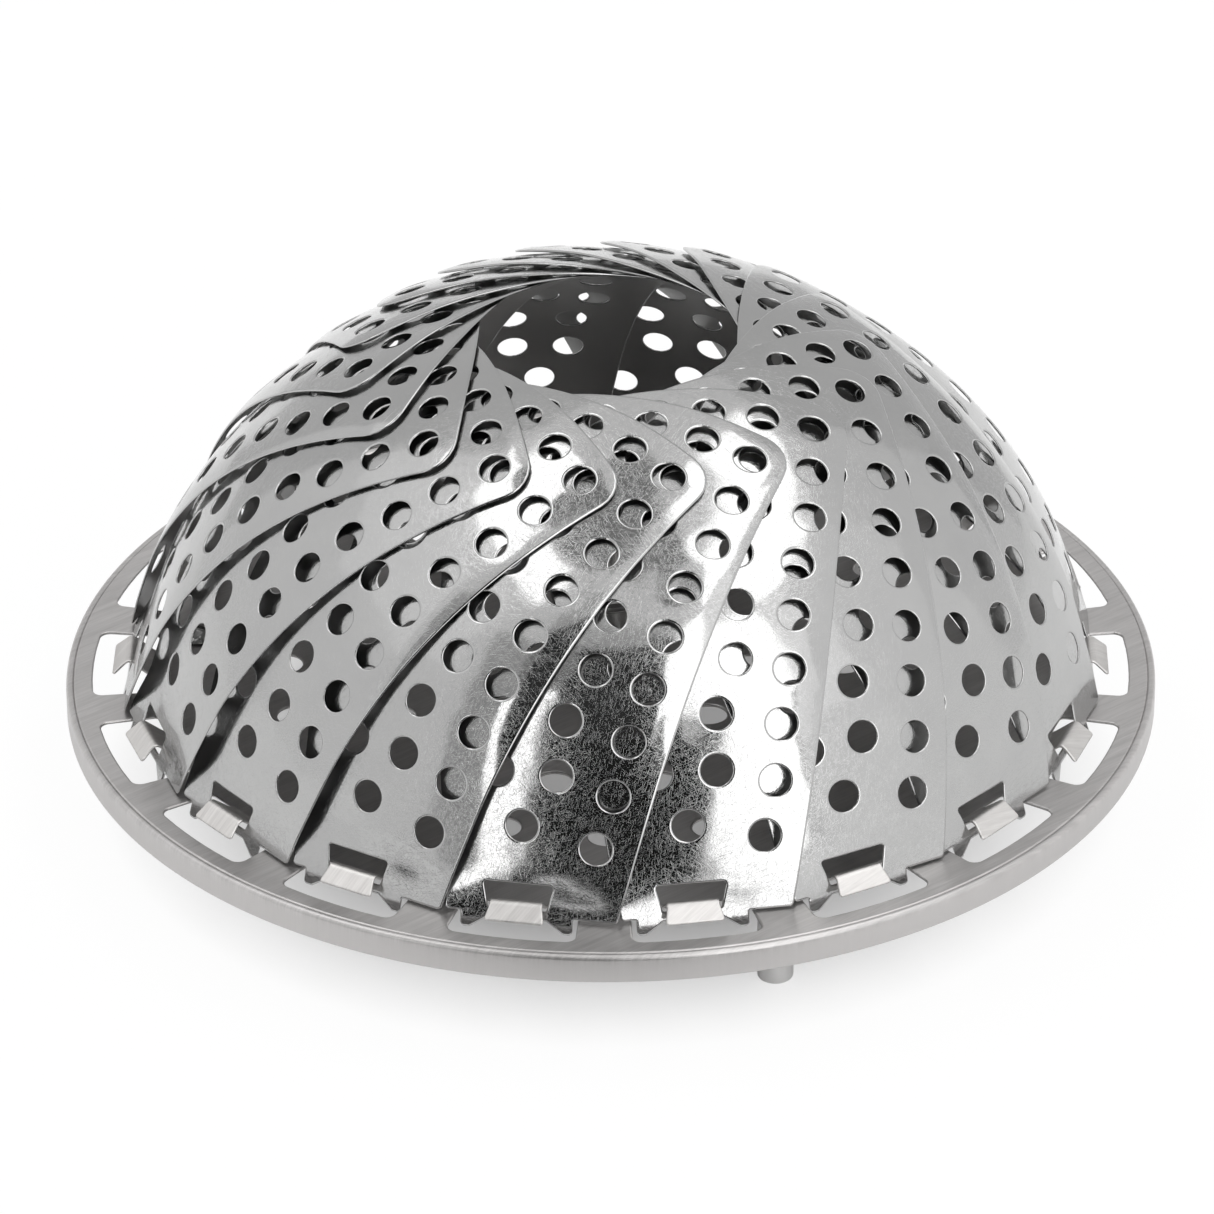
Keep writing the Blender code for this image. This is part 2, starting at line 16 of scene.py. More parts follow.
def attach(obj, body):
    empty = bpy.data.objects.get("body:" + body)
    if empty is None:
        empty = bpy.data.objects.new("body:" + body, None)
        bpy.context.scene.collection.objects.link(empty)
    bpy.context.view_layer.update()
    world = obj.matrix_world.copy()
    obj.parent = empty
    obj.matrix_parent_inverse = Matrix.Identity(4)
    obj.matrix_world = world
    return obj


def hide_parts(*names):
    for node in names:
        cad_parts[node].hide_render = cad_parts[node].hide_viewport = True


MM = 0.001

# Basket
PETALS = 18
RIM_RADIUS = 90.0 * MM
PLATE_TOP = 20.0 * MM
PLATE_SHEET = 0.6 * MM
GAP = 0.3 * MM

# Petal blank, in (across, along) from the middle of its hinge
HINGE_RADIUS = 79.4 * MM
HINGE_HEIGHT = PLATE_TOP + 0.5 * MM
PETAL_SHEET = 0.4 * MM
PETAL_LENGTH = 89.5 * MM
PETAL_LEAN = math.radians(18.9)
STRAIGHT_FOOT = 15.6 * MM
BEND_LENGTH = 75.4 * MM
LOWER_BEND_RADIUS = 62.7 * MM
UPPER_BEND_RADIUS = 95.2 * MM
CROSS_RADII = (130.0 * MM, 77.0 * MM, 92.0 * MM)
TILT_FOOT = 0.08
TILT_TOP = 0.10
FLAT_FOOT = 9.0 * MM
EDGE_ROLL_WIDTH = 5.5 * MM
EDGE_ROLL_DROP = 0.56 * MM
EDGE_ROLL_START = 12.0 * MM
EDGE_ROLL_FULL = 34.0 * MM
RIGHT_FOOT = 16.1 * MM
LEFT_FOOT = 11.5 * MM
RIGHT_SPREAD = 0.224
LEFT_SPREAD = 0.110
FOOT_EDGE = -0.2 * MM
TOP_EDGE_RADIUS = 120.0 * MM
TOP_CORNER_RADIUS = 5.4 * MM
FOOT_CORNER_RADIUS = 0.8 * MM
MIDDLE_LINE_BELOW = 8.0 * MM
MIDDLE_LINE_ABOVE = 4.0 * MM
MIDDLE_LINE_STEPS = 1200

# Hinge tab, its window and the plate's tongue
BAR_HALF_HEIGHT = 0.8 * MM
WINDOW_HALF_WIDTH = 4.65 * MM
WINDOW_TOP_HALF_WIDTH = 5.65 * MM
WINDOW_TOP = 4.9 * MM
WINDOW_CORNER = 0.5 * MM
BAR_CORNER = 0.3 * MM
TAB_HALF_WIDTH = 9.0 * MM
TAB_DEPTH = 2.7 * MM
TAB_RAMP = 2.8 * MM
TAB_ROUND = 0.7 * MM
TONGUE_SHEET = 0.5 * MM
TONGUE_BEND_RADIUS = 1.85 * MM
TONGUE_HALF_WIDTH = 4.2 * MM
TONGUE_END_HALF_WIDTH = 4.8 * MM
TONGUE_RISE = math.radians(40)
TONGUE_FALL = math.radians(42)
TONGUE_CREASE_RADIUS = 0.9 * MM
TONGUE_TIP_RISE = 0.5 * MM
TONGUE_ROOT_OVERLAP = 1.0 * MM
TONGUE_ROOT_LENGTH = 2.0 * MM
TONGUE_ROOT_BEND_RADIUS = 2.4 * MM
TONGUE_ROOT_CORNER = 0.6 * MM
TONGUE_END_CORNER = 0.5 * MM
TONGUE_FLARE_LENGTH = 2.7 * MM
SLOT_INNER_RADIUS = 75.3 * MM
SLOT_OUTER_RADIUS = 85.6 * MM
SLOT_HALF_ANGLE = math.radians(6.95)
SLOT_CORNER = 1.6 * MM

# Perforations of a petal: rows on arcs about a point below the hinge, placed across as shares
HOLE_RADIUS = 2.55 * MM
HOLE_PITCH = 9.0 * MM
HOLE_ROW_START = 14.2 * MM
HOLE_ROW_STEP = 8.77 * MM
HOLE_ROW_CENTRE = 15.0 * MM
HOLE_PLACE_SHARES = (
    (1.34, 0.01),
    (1.59, 0.57, -0.49),
    (1.78, 0.65, -0.49),
    (2.02, 1.08, 0.11, -0.83),
    (2.21, 1.22, 0.23, -0.76),
    (2.42, 1.34, 0.29, -0.78),
    (2.77, 1.80, 0.83, -0.13, -1.10),
    (2.96, 1.97, 0.98, -0.01, -1.00),
    (3.14, 2.27, 1.32, 0.40, -0.51, -1.42),
)

# Plate, legs, screws, post, ring and nut
FLOOR_EDGE_RADIUS = 88.8 * MM
FLOOR_HOLE_RADIUS = 3.0 * MM
FLOOR_RINGS = ((23.0 * MM, 8), (38.5 * MM, 14), (54.0 * MM, 20))
SKIRT_DEPTH = 4.7 * MM
BEAD_RADIUS = 0.8 * MM
BEAD_INNER_RADIUS = 0.5 * MM
GROOVE_OVERLAP = 0.1 * MM
HEM_EDGE = 0.15 * MM
BEAD_BACK_DEPTH = 1.6 * MM
GROOVE_BACK_DEPTH = 0.8 * MM
FIRST_LEG_ANGLE = math.radians(52.8)
LEGS = 3
LEG_CIRCLE_RADIUS = 69.5 * MM
LEG_RADIUS = 2.9 * MM
LEG_EDGE = 0.5 * MM
LEG_TOP_CHAMFER = 0.1 * MM
LEG_BORE_RADIUS = 1.6 * MM
LEG_BORE_DEPTH = 8.0 * MM
SCREW_RADIUS = 1.3 * MM
SCREW_LENGTH = 7.0 * MM
SCREW_HEAD_RADIUS = 3.1 * MM
SCREW_HEAD_HEIGHT = 1.6 * MM
SCREW_SLOT_HALF_WIDTH = 0.4 * MM
SCREW_SLOT_DEPTH = 0.6 * MM
SCREW_SLOT_WALL = 0.03 * MM
THREAD_END_CHAMFER = 0.2 * MM
STUD_RADIUS = 2.0 * MM
STUD_BELOW_NUT = 0.8 * MM
POST_RADIUS = 3.5 * MM
POST_EDGE = 0.4 * MM
FLANGE_RADIUS = 7.5 * MM
FLANGE_EDGE = 0.4 * MM
FLANGE_HEIGHT = 1.5 * MM
EYE_HEIGHT = 30.0 * MM
EYE_HOLE_RADIUS = 1.75 * MM
EYE_WALL = 1.8 * MM
EYE_SHEET = 3.0 * MM
EYE_SHOULDER = 2.2 * MM
RING_RADIUS = 8.5 * MM
RING_WIRE_RADIUS = 1.2 * MM
NUT_CORNER_RADIUS = 4.05 * MM
NUT_HEIGHT = 3.0 * MM
NUT_CHAMFER = 0.3 * MM

# Pressed sheets: sheet, width of the rounded edge, step of the outline, grid across and along, and
# how far the grid keeps off the edges
PETAL_GRAIN = {
    "sheet": PETAL_SHEET,
    "edge": 0.4 * MM,
    "step": 1.6 * MM,
    "grid": (2.0 * MM, 1.7 * MM),
    "keep_off": 0.9 * MM,
}
FLOOR_GRAIN = {
    "sheet": PLATE_SHEET,
    "edge": 0.4 * MM,
    "grid": (6.0 * MM, 6.0 * MM),
    "keep_off": 1.5 * MM,
}
TONGUE_GRAIN = {
    "sheet": TONGUE_SHEET,
    "edge": 0.28 * MM,
    "step": 0.25 * MM,
    "grid": (0.9 * MM, 0.2 * MM),
    "keep_off": 0.14 * MM,
}
EYE_GRAIN = {
    "sheet": EYE_SHEET,
    "edge": POST_EDGE,
    "step": 0.5 * MM,
    "grid": (0.8 * MM, 0.8 * MM),
    "keep_off": 0.4 * MM,
}
WINDOW_STEP = 1.0 * MM
PETAL_TANGENT_STEP = 0.02 * MM
TONGUE_TANGENT_STEP = 0.12 * MM
EDGE_STEPS = 6
BLANK_MERGE = 1e-7

# Turned pieces: steps round the plate, what lies on the axis, which points are one, and which
# edges look sharp
PLATE_STEPS = 216
POLE_RADIUS = 1e-9
WELD_DISTANCE = 0.0001 * MM
SHARP_ANGLE = math.radians(40)

# Screw heads: steps of the grid each way, and how far its rows keep off the slot, as a share
SCREW_GRID_STEPS = 25
SCREW_ROW_CLEARANCE = 1.1

# How far each petal's blank is moved on in the pattern of wear, so that no two petals look alike
BLANK_SHIFT = (0.137, 0.071)

# Marks on the petals by turn and length, the noise where they start, and their form
WEAR_MARKS = ((0.35, 1.9 * MM), (1.4, 1.5 * MM), (2.5, 2.1 * MM))
WEAR_LOW = 0.605
SCORE_MARKS = ((1.0, 3.0 * MM), (1.9, 2.4 * MM), (2.95, 2.7 * MM))
SCORE_LOW = 0.67
MARK_WIDTH_SHARE = 0.07
MARK_EDGE = 0.05

# Brushed lines on the plate: their form, and where they are nearly worn away, below the rim's top
BRUSH_TURN = math.radians(40)
BRUSH_WIDTH_SHARE = 0.05
BRUSH_FADE_START = 0.51 * MM
BRUSH_FADE_END = 1.7 * MM
BRUSH_LEFT = 0.15

# Studio cards round the basket, in degrees from the camera's side: azimuths, elevations, strength
CARD_DISTANCE = 5.0
CARD_STEPS = (24, 16)
CARDS = (
    ((-29, 12), (-6, 30), 0.02),
    ((-29, 9), (30, 54), 0.05),
    ((12, 18.5), (22, 34), 0.2),
    ((-31, 12), (54, 60), 0.65),
    ((-52, -37), (-6, 50), 0.5),
    ((-37, -29), (40, 54), 0.3),
    ((-37, -29.5), (0, 40), 3.0),
    ((14, 38), (-6, 22), 3.0),
    ((18.5, 38), (22, 34), 3.0),
    ((10, 42), (34, 55), 3.0),
    ((-136, -60), (-10, 36), 1.0),
    ((-136, -60), (36, 58), 1.2),
    ((-168, -136), (-10, 56), 0.75),
    ((-146, -48), (60, 72), 3.0),
    ((42, 62), (-10, 24), 1.2),
    ((42, 62), (24, 56), 1.45),
    ((62, 100), (-10, 56), 1.12),
    ((100, 130), (-10, 56), 0.98),
    ((130, 156), (-10, 56), 0.76),
    ((156, 192), (-10, 56), 0.72),
    ((41, 92), (57, 76), 3.0),
    ((92, 150), (62, 77), 3.0),
    ((-170, 38), (73, 89), 0.32),
    ((12, 24), (66, 73), 0.32),
)

# Dark card on the floor in front of the basket: left, right, near and far
FLOOR_CARD = (-0.24, 0.10, -0.75, -0.13)
FLOOR_CARD_HEIGHT = 1.0 * MM
FLOOR_CARD_STRENGTH = 0.1

# Floor: its half width and colour, and how much of it the camera sees as plain white, by radius
FLOOR_HALF_WIDTH = 8.0
FLOOR_COLOUR = (0.94, 0.94, 0.94)
SHADE_RADIUS = 0.55 * RIM_RADIUS
CLEAR_RADIUS = 0.95 * RIM_RADIUS
SHADE_CLEARNESS = 0.2
OPEN_CLEARNESS = 0.95

# Camera, as the photograph was taken
LENS = 230.66
SENSOR = 36.0
CAMERA_PLACE = (0.0, -1108.8 * MM, 654.4 * MM)
CAMERA_AIM = (-0.51 * MM, 0.0, 10.75 * MM)
CAMERA_TURN = math.radians(0.88)
CAMERA_ROLL = math.radians(-0.437)
CAMERA_CLIP = (0.05, 50.0)


# Shapes


def arc(centre, radius, start, end, steps):
    """Points of an arc, both ends included."""
    angle = np.linspace(start, end, steps + 1)
    return np.stack([centre[0] + radius * np.cos(angle), centre[1] + radius * np.sin(angle)], 1)


def rounded(corners, steps=6):
    """A closed outline from (point, radius) corners: an arc of its radius tangent to both sides."""
    points = np.array([corner[0] for corner in corners])
    outline = []
    for i, (_, radius) in enumerate(corners):
        if not radius:
            outline.append(points[i : i + 1])
            continue
        before = points[i - 1] - points[i]
        after = points[(i + 1) % len(points)] - points[i]
        before /= np.linalg.norm(before)
        after /= np.linalg.norm(after)
        half = math.acos(np.clip(before @ after, -1, 1)) / 2
        middle = (before + after) / np.linalg.norm(before + after)
        centre = points[i] + middle * radius / math.sin(half)
        first = points[i] + before * radius / math.tan(half) - centre
        last = points[i] + after * radius / math.tan(half) - centre
        start = math.atan2(first[1], first[0])
        sweep = math.remainder(math.atan2(last[1], last[0]) - start, 2 * math.pi)
        outline.append(arc(centre, radius, start, start + sweep, steps))
    return np.concatenate(outline)


def resampled(outline, step):
    """The closed outline with points added so that none is further than a step from the next."""
    following = np.roll(outline, -1, axis=0)
    counts = np.maximum(np.ceil(np.linalg.norm(following - outline, axis=1) / step), 1).astype(int)
    index = np.repeat(np.arange(len(outline)), counts)
    share = (np.arange(len(index)) - np.repeat(np.cumsum(counts) - counts, counts)) / counts[index]
    return outline[index] + (following - outline)[index] * share[:, None]


def circle(centre, radius, steps=28):
    angle = np.arange(steps) * 2 * math.pi / steps
    return np.stack([centre[0] + radius * np.cos(angle), centre[1] + radius * np.sin(angle)], 1)


def edge_normals(outline):
    """Unit directions pointing out of a counter-clockwise outline, one at each of its points."""
    ahead = np.roll(outline, -1, axis=0) - outline
    ahead /= np.linalg.norm(ahead, axis=1)[:, None]
    along = ahead + np.roll(ahead, 1, axis=0)
    along /= np.linalg.norm(along, axis=1)[:, None]
    return np.stack([along[:, 1], -along[:, 0]], 1)


def free_points(loops, spacing, keep_off):
    """A staggered grid over the first loop, kept off the points of every loop."""
    low, high = loops[0].min(axis=0), loops[0].max(axis=0)
    across = np.arange(low[0], high[0], spacing[0])
    along = np.arange(low[1], high[1], spacing[1])
    grid = np.stack(np.meshgrid(across, along), -1)
    grid[1::2, :, 0] += spacing[0] / 2
    grid = grid.reshape(-1, 2)
    edges = np.concatenate(loops)
    near = [np.linalg.norm(grid - point, axis=1) < keep_off for point in edges]
    return grid[~np.any(near, axis=0)]


def build_mesh(name, points, faces, normals=None, flat_places=None, sides=None):
    """A mesh from arrays, smooth, with its own normals, and the blank's coordinates as its UV map.

    The sides, if given, become its attribute "side": 1 on the upper face and -1 on the lower.
    """
    mesh = bpy.data.meshes.new(name)
    mesh.from_pydata(points.tolist(), [], faces)
    mesh.shade_smooth()
    if flat_places is not None:
        uv = mesh.uv_layers.new(name="blank")
        corners = np.empty(len(mesh.loops), np.int32)
        mesh.loops.foreach_get("vertex_index", corners)
        uv.data.foreach_set("uv", flat_places[corners].astype(np.float32).ravel())
    if sides is not None:
        side = mesh.attributes.new("side", "FLOAT", "POINT")
        side.data.foreach_set("value", sides.astype(np.float32))
    if normals is not None:
        mesh.normals_split_custom_set_from_vertices(normals.tolist())
    piece = bpy.data.objects.new(name, mesh)
    bpy.context.scene.collection.objects.link(piece)
    return piece


def pressed_sheet(outline, holes, surface, grain):
    """Arrays of a pressed sheet with rounded edges: (points, faces, normals, flat places, sides).

    The blank is triangulated flat, inside its outline and outside its holes, with every edge drawn
    in by the edge width. The surface formula gives each flat place its point and two tangents. Both
    faces lie half the sheet off that point along the normal, and each edge is half an ellipse: at
    the angle a from the upper face it stands edge * sin a outward and half * cos a up. The grain is
    one of the tables of meshing sizes.
    """
    half, edge = grain["sheet"] / 2, grain["edge"]
    loops, outwards = [], []
    for i, loop in enumerate([outline, *holes]):
        outward = edge_normals(loop)
        loops.append(loop - outward * edge if i == 0 else loop + outward * edge)
        outwards.append(outward if i == 0 else -outward)
    free = free_points(loops, grain["grid"], grain["keep_off"])
    places = np.concatenate([*loops, free])
    starts = np.cumsum([0] + [len(loop) for loop in loops])
    rings = [list(range(a, b)) for a, b in zip(starts[:-1], starts[1:])]
    vectors = [Vector(place) for place in places.tolist()]
    flat, _, faces, olds, _, sources = delaunay_2d_cdt(vectors, [], rings, 1, BLANK_MERGE)
    new_of = {old: new for new, origins in enumerate(olds) for old in origins}
    top = np.array([face for face, source in zip(faces, sources) if source == [0]])
    flat = np.array([tuple(place) for place in flat])
    used = np.zeros(len(flat), bool)
    used[top.ravel()] = True
    place_of = np.cumsum(used) - 1
    top, flat = place_of[top], flat[used]

    centre, u, v = surface(flat[:, 0], flat[:, 1])
    normal = np.cross(u, v)
    normal /= np.linalg.norm(normal, axis=1)[:, None]
    count = len(flat)
    points = [centre + half * normal, centre - half * normal]
    normals = [normal, -normal]
    where = [flat, flat]
    side = [np.ones(count), -np.ones(count)]
    blocks = [top, top[:, ::-1] + count]
    total = 2 * count
    for i, (start, end) in enumerate(zip(starts[:-1], starts[1:])):
        ring = place_of[[new_of[old] for old in range(start, end)]]
        out = u[ring] * outwards[i][:, :1] + v[ring] * outwards[i][:, 1:]
        out -= normal[ring] * np.sum(out * normal[ring], axis=1)[:, None]
        out /= np.linalg.norm(out, axis=1)[:, None]
        layers = [ring]
        for step in range(1, EDGE_STEPS):
            angle = math.pi * step / EDGE_STEPS
            rise = math.cos(angle) * normal[ring]
            points.append(centre[ring] + edge * math.sin(angle) * out + half * rise)
            around = math.sin(angle) / edge * out + rise / half
            normals.append(around / np.linalg.norm(around, axis=1)[:, None])
            where.append(flat[ring])
            side.append(np.full(len(ring), math.cos(angle)))
            layers.append(total + np.arange(len(ring)))
            total += len(ring)
        layers.append(ring + count)
        for upper, lower in zip(layers[:-1], layers[1:]):
            quad = np.stack([upper, lower, np.roll(lower, -1), np.roll(upper, -1)], 1)
            blocks.append(quad if i == 0 else quad[:, ::-1])
    faces = [row for block in blocks for row in block.tolist()]
    points, normals, where, side = map(np.concatenate, (points, normals, where, side))
    return points, faces, normals, where, side


def lean_at(along):
    """The petal's inward lean: constant at the foot, then growing with a curvature that eases."""
    bent = np.maximum(along - STRAIGHT_FOOT, 0)
    ease = (1 / UPPER_BEND_RADIUS - 1 / LOWER_BEND_RADIUS) / (2 * BEND_LENGTH)
    return PETAL_LEAN + bent / LOWER_BEND_RADIUS + ease * bent**2


def middle_line(along):
    """Inward and upward reach along the petal's middle: the sums of sine and cosine of the lean."""
    fine = np.linspace(-MIDDLE_LINE_BELOW, PETAL_LENGTH + MIDDLE_LINE_ABOVE, MIDDLE_LINE_STEPS)
    step = fine[1] - fine[0]
    lean = lean_at((fine[1:] + fine[:-1]) / 2)
    inward = -np.concatenate([[0], np.cumsum(np.sin(lean))]) * step
    up = np.concatenate([[0], np.cumsum(np.cos(lean))]) * step
    inward -= np.interp(0, fine, inward)
    up -= np.interp(0, fine, up)
    return np.interp(along, fine, inward), np.interp(along, fine, up)


def smooth_step(value):
    share = np.clip(value, 0, 1)
    return share**2 * (3 - 2 * share)


def standoff(across, along):
    """How far the petal stands off its middle line: a tilt, less a parabola across, eased in.

    The right edge, and the top edge beside it, are rolled down by a parabola over their last part.
    """
    share = np.clip(along / PETAL_LENGTH, 0, 1)
    curve = (1 - share) * (1 - 2 * share) / CROSS_RADII[0]
    curve += 4 * share * (1 - share) / CROSS_RADII[1]
    curve += share * (2 * share - 1) / CROSS_RADII[2]
    tilt = TILT_FOOT + (TILT_TOP - TILT_FOOT) * share
    side = np.clip((across - right_edge(along)) / EDGE_ROLL_WIDTH + 1, 0, 1)
    top = np.clip((along - top_edge(across)) / EDGE_ROLL_WIDTH + 1, 0, 1)
    start = (along - EDGE_ROLL_START) / (EDGE_ROLL_FULL - EDGE_ROLL_START)
    rolled = side**2 * smooth_step(start) + top**2 * smooth_step(across / RIGHT_FOOT - 1)
    drop = EDGE_ROLL_DROP * rolled
    return smooth_step(along / FLAT_FOOT) * (tilt * across - curve * across**2 / 2) - drop


def petal_point(across, along):
    inward, up = middle_line(along)
    lean = lean_at(along)
    out = standoff(across, along)
    return np.stack([inward + out * np.cos(lean), across, up + out * np.sin(lean)], 1)


def tangents(point, across, along, step):
    """Two tangents of a surface, as differences over a small step each way."""
    u = (point(across + step, along) - point(across - step, along)) / (2 * step)
    v = (point(across, along + step) - point(across, along - step)) / (2 * step)
    return point(across, along), u, v


def petal_surface(across, along):
    return tangents(petal_point, across, along, PETAL_TANGENT_STEP)


def right_edge(along):
    return RIGHT_FOOT + RIGHT_SPREAD * along


def left_edge(along):
    return -LEFT_FOOT - LEFT_SPREAD * along


def top_edge(across):
    return PETAL_LENGTH - across**2 / (2 * TOP_EDGE_RADIUS)


def corner_of(edge):
    """Where a side edge meets the top edge."""
    along = PETAL_LENGTH
    for _ in range(12):
        along = top_edge(edge(along))
    return edge(along), along


def petal_outline():
    """The blank: the tab's feet with the bar between them, two straight sides, an arched top."""
    feet = [
        ((TAB_HALF_WIDTH, FOOT_EDGE), BAR_CORNER),
        ((TAB_HALF_WIDTH, -TAB_DEPTH), TAB_ROUND),
        ((WINDOW_HALF_WIDTH + TAB_RAMP, -TAB_DEPTH), TAB_ROUND),
        ((WINDOW_HALF_WIDTH, -BAR_HALF_HEIGHT), BAR_CORNER),
    ]
    right, left = corner_of(right_edge), corner_of(left_edge)
    top = np.linspace(right[0] - TOP_CORNER_RADIUS, left[0] + TOP_CORNER_RADIUS, 12)
    corners = [((-place[0], place[1]), radius) for place, radius in feet]
    corners += feet[::-1]
    corners.append(((right_edge(FOOT_EDGE), FOOT_EDGE), FOOT_CORNER_RADIUS))
    corners.append((right, TOP_CORNER_RADIUS))
    corners += [((across, top_edge(across)), 0) for across in top]
    corners.append((left, TOP_CORNER_RADIUS))
    corners.append(((left_edge(FOOT_EDGE), FOOT_EDGE), FOOT_CORNER_RADIUS))
    return resampled(rounded(corners), PETAL_GRAIN["step"])


def window_outline():
    corners = [
        ((-WINDOW_HALF_WIDTH, BAR_HALF_HEIGHT), BAR_CORNER),
        ((WINDOW_HALF_WIDTH, BAR_HALF_HEIGHT), BAR_CORNER),
        ((WINDOW_TOP_HALF_WIDTH, WINDOW_TOP), WINDOW_CORNER),
        ((-WINDOW_TOP_HALF_WIDTH, WINDOW_TOP), WINDOW_CORNER),
    ]
    return resampled(rounded(corners, 3), WINDOW_STEP)


def hole_places():
    rows = np.repeat(np.arange(len(HOLE_PLACE_SHARES)), [len(row) for row in HOLE_PLACE_SHARES])
    across = np.concatenate(HOLE_PLACE_SHARES) * HOLE_PITCH
    radius = HOLE_ROW_CENTRE + HOLE_ROW_START + HOLE_ROW_STEP * rows
    return np.stack([across, np.sqrt(radius**2 - across**2) - HOLE_ROW_CENTRE], 1)


def spin(points, angle):
    """Points or directions turned about the basket's axis."""
    cosine, sine = math.cos(angle), math.sin(angle)
    return points @ np.array([[cosine, sine, 0], [-sine, cosine, 0], [0, 0, 1]])


def add_petals(material):
    holes = [window_outline(), *(circle(place, HOLE_RADIUS) for place in hole_places())]
    blank = pressed_sheet(petal_outline(), holes, petal_surface, PETAL_GRAIN)
    points, faces, normals, places, sides = blank
    for number in range(PETALS):
        angle = 2 * math.pi * number / PETALS
        placed = spin(points + [HINGE_RADIUS, 0, HINGE_HEIGHT], angle)
        node = f"petal_{number + 1:02d}"
        scuffed = places + number * np.array(BLANK_SHIFT)
        turned = spin(normals, angle)
        petal = build_mesh(f"pressed_{node}", placed, faces, turned, scuffed, sides)
        dress(petal, node, node, material)


def floor_surface(across, along):
    """The plate's floor: flat, half its sheet below its top."""
    one, zero = np.ones_like(across), np.zeros_like(across)
    centre = np.stack([across, along, one * (PLATE_TOP - PLATE_SHEET / 2)], 1)
    return centre, np.stack([one, zero, zero], 1), np.stack([zero, one, zero], 1)


def slot_outline(angle):
    """One slot: straight inner edge, sides that point at the axis, and an arc outside."""
    inner = SLOT_INNER_RADIUS * math.tan(SLOT_HALF_ANGLE)
    outer = arc((0, 0), SLOT_OUTER_RADIUS, -SLOT_HALF_ANGLE, SLOT_HALF_ANGLE, 8)
    corners = [((SLOT_INNER_RADIUS, -inner), SLOT_CORNER / 2), (tuple(outer[0]), SLOT_CORNER)]
    corners += [(tuple(point), 0) for point in outer[2:-2]]
    corners += [(tuple(outer[-1]), SLOT_CORNER), ((SLOT_INNER_RADIUS, inner), SLOT_CORNER / 2)]
    outline = rounded(corners)
    cosine, sine = math.cos(angle), math.sin(angle)
    return outline @ np.array([[cosine, sine], [-sine, cosine]])


def add_plate_floor(material):
    holes = [slot_outline(2 * math.pi * number / PETALS) for number in range(PETALS)]
    for radius, count in FLOOR_RINGS:
        angles = 2 * math.pi * np.arange(count) / count
        centres = np.stack([radius * np.cos(angles), radius * np.sin(angles)], 1)
        holes += [circle(centre, FLOOR_HOLE_RADIUS) for centre in centres]
    holes += [circle(place, LEG_BORE_RADIUS, steps=16) for place in leg_places()]
    holes += [circle((0, 0), STUD_RADIUS + GAP, steps=20)]
    outline = circle((0, 0), FLOOR_EDGE_RADIUS, PLATE_STEPS)
    blank = pressed_sheet(outline, holes, floor_surface, FLOOR_GRAIN)
    dress(build_mesh("plate_floor", *blank), "base_plate", "base", material)


def weld(piece):
    """Joins points that lie in one place, which drops faces without area, and marks sharp edges."""
    body = bmesh.new()
    body.from_mesh(piece.data)
    bmesh.ops.remove_doubles(body, verts=body.verts, dist=WELD_DISTANCE)
    body.to_mesh(piece.data)
    body.free()
    piece.data.set_sharp_from_angle(angle=SHARP_ANGLE)
    return piece


def lathe(name, profile, steps, place=(0.0, 0.0), limit=np.inf):
    """A profile of (radius, height) points carried round an upright axis, closed at both poles.

    A limit, one radius for each step of the turn, cuts flats into it.
    """
    profile = np.asarray(profile, float)
    angle = np.arange(steps) * 2 * math.pi / steps
    at_pole = profile[:, 0] < POLE_RADIUS
    points, rows = [], []
    total = 0
    for (radius, height), pole in zip(profile, at_pole):
        turn = angle[:1] if pole else angle
        reach = radius if pole else np.minimum(radius, limit)
        ring = np.stack([reach * np.cos(turn), reach * np.sin(turn), np.full(len(turn), height)], 1)
        points.append(ring)
        rows.append(total + np.arange(len(turn)))
        total += len(turn)
    faces = []
    for upper, lower in zip(rows[:-1], rows[1:]):
        if len(upper) == 1:
            fan = np.stack([np.full(steps, upper[0]), lower, np.roll(lower, -1)], 1)
        elif len(lower) == 1:
            fan = np.stack([upper, np.full(steps, lower[0]), np.roll(upper, -1)], 1)
        else:
            fan = np.stack([upper, lower, np.roll(lower, -1), np.roll(upper, -1)], 1)
        faces += fan.tolist()
    if len(rows[0]) > 1 and len(rows[-1]) > 1:
        joint = np.stack([rows[-1], rows[0], np.roll(rows[0], -1), np.roll(rows[-1], -1)], 1)
        faces += joint.tolist()
    return weld(build_mesh(name, np.concatenate(points) + [*place, 0], faces))


def add_plate_rim(material):
    """The bead and the skirt. The bead's inner round and the floor's edge leave a groove."""
    top = PLATE_TOP
    inside = FLOOR_EDGE_RADIUS - GROOVE_OVERLAP
    inner = BEAD_INNER_RADIUS
    bead = arc((RIM_RADIUS - BEAD_RADIUS, top - BEAD_RADIUS), BEAD_RADIUS, math.pi / 2, 0, 8)
    lip = arc((inside + inner, top - inner), inner, math.pi, math.pi / 2, 6)
    bottom = top - SKIRT_DEPTH
    edge = HEM_EDGE
    wall = RIM_RADIUS - PLATE_SHEET
    hem = [
        (RIM_RADIUS, bottom + edge),
        (RIM_RADIUS - edge, bottom),
        (wall + edge, bottom),
        (wall, bottom + edge),
        (wall, top - BEAD_BACK_DEPTH),
        (inside, top - GROOVE_BACK_DEPTH),
    ]
    profile = np.concatenate([lip, bead, hem])
    dress(lathe("plate_rim", profile, PLATE_STEPS), "base_plate", "base", material)


